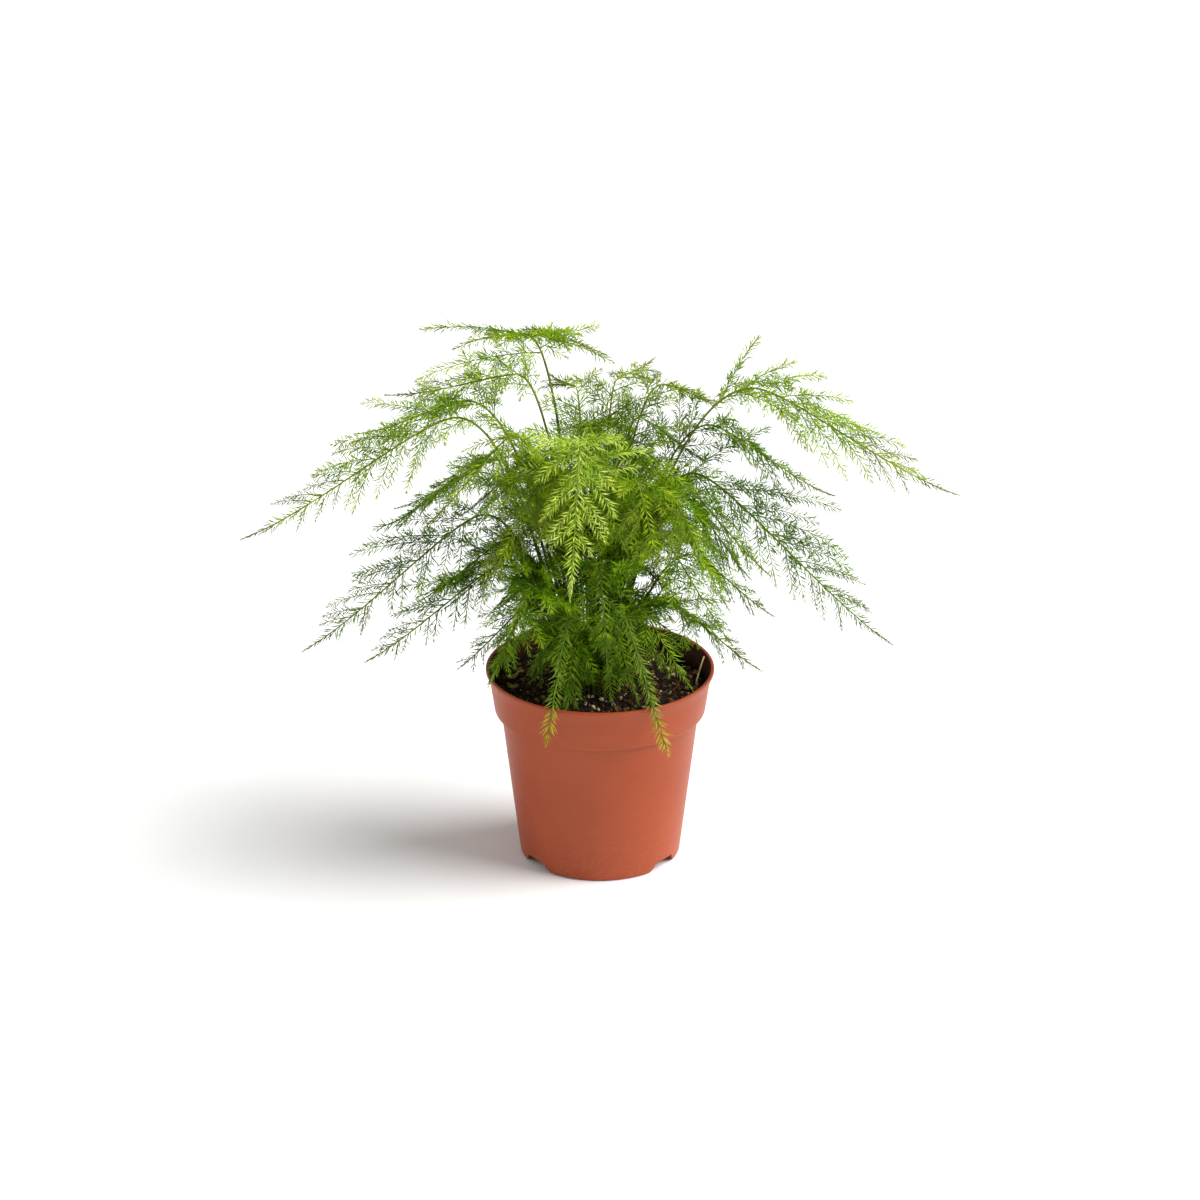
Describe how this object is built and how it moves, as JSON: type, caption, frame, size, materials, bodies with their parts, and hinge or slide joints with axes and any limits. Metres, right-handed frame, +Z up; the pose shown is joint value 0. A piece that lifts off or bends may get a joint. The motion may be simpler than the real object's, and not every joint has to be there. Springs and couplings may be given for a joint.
{
  "type": "potted lace fern",
  "caption": "Asparagus fern, sold as lace fern: lacy fronds of fine needles arch out of a round terracotta-coloured plastic nursery pot filled with soil, which stands on its notched foot.",
  "frame": {"origin": "on the surface that the pot stands on, under the middle of the plant and on the pot's axis", "axes": "+Z up along the pot's axis; +X to the right and +Y away as the plant is seen in the picture, with its widest spread along X"},
  "size_m": [0.3692, 0.1938, 0.2808],
  "materials": {
    "moulded_plastic": "satin",
    "potting_soil": "matte",
    "foliage": "satin",
    "straw": "matte",
    "dead_wood": "matte",
    "dry_leaf": "matte"
  },
  "bodies": {
    "root": {"pot": "moulded_plastic", "soil": "potting_soil", "frond_top_left": "foliage", "frond_top_left_front": "foliage", "frond_left_long": "foliage", "frond_left_back_high": "foliage", "frond_left_middle": "foliage", "frond_left_low_outer": "foliage", "frond_left_low_middle": "foliage", "frond_left_low_inner": "foliage", "frond_right_long": "foliage", "frond_right_low_outer": "foliage", "frond_right_back": "foliage", "frond_right_middle": "foliage", "frond_right_low": "foliage", "frond_front_bright": "foliage", "frond_front_right": "foliage", "frond_front_left": "foliage", "frond_front_left_high": "foliage", "frond_front_right_low": "foliage", "frond_front_low": "foliage", "frond_rim_left": "foliage", "frond_rim_right": "foliage", "frond_top_back": "foliage", "frond_top_right_back": "foliage", "frond_top_right": "foliage", "frond_back_left": "foliage", "frond_back_middle": "foliage", "frond_back_low_right": "foliage", "frond_back_low_left": "foliage", "frond_low_left": "foliage", "frond_low_right": "foliage", "dry_straw": "straw", "dead_twig": "dead_wood", "curled_leaf_1": "dry_leaf", "curled_leaf_2": "dry_leaf", "curled_leaf_3": "dry_leaf"}
  },
  "joints": []
}
